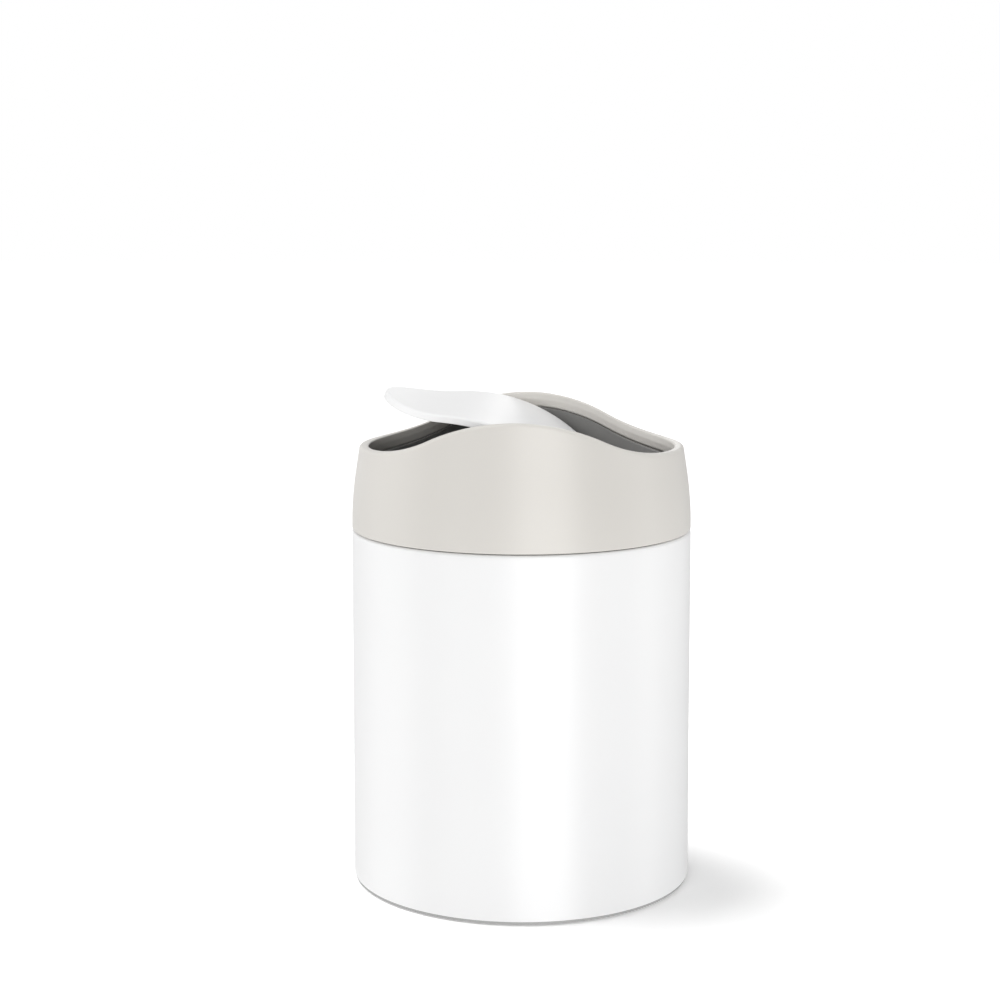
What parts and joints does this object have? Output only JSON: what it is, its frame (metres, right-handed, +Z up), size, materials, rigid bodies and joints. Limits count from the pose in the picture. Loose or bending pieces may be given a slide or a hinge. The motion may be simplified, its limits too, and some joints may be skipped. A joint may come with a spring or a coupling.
{
  "type": "countertop trash can with swing lid",
  "caption": "Small round steel can with a wavy plastic collar that lifts off and a balanced lid that swings about a level axis.",
  "frame": {"origin": "centre of the foot, at the surface that the can stands on", "axes": "+Z up, Y along the lid's swing axis with the front at -Y, +X towards the end of the lid that is pushed down"},
  "size_m": [0.121, 0.121, 0.176],
  "materials": {
    "white_steel": "satin white powder coat",
    "base_plastic": "matt grey",
    "pad_rubber": "matt black",
    "collar_plastic": "satin light warm grey",
    "dark_plastic": "satin dark grey",
    "bush_plastic": "smooth natural",
    "bright_steel": "bright zinc",
    "bar_steel": "zinc plated"
  },
  "bodies": {
    "can": {"body_shell": "white_steel", "bottom_pan": "white_steel", "base_ring": "base_plastic", "foot_pads": "pad_rubber"},
    "collar": {"collar_shell": "collar_plastic", "inner_ring": "dark_plastic", "collar_screws": "bright_steel", "bush_front": "bush_plastic", "bush_rear": "bush_plastic"},
    "lid": {"lid_cover": "white_steel", "lid_tray": "dark_plastic", "pin_front": "bright_steel", "pin_rear": "bright_steel", "balance_bar": "bar_steel", "bar_screws": "bright_steel"}
  },
  "joints": [
    {"name": "collar_lift", "type": "slide", "parent": "can", "child": "collar", "axis": [0, 0, 1], "range_m": [0, 0.06]},
    {"name": "lid_swing", "type": "hinge", "parent": "collar", "child": "lid", "pos_m": [0, 0, 0.15965], "axis": [0, 1, 0], "range_deg": [-101.5, 54.5]}
  ]
}
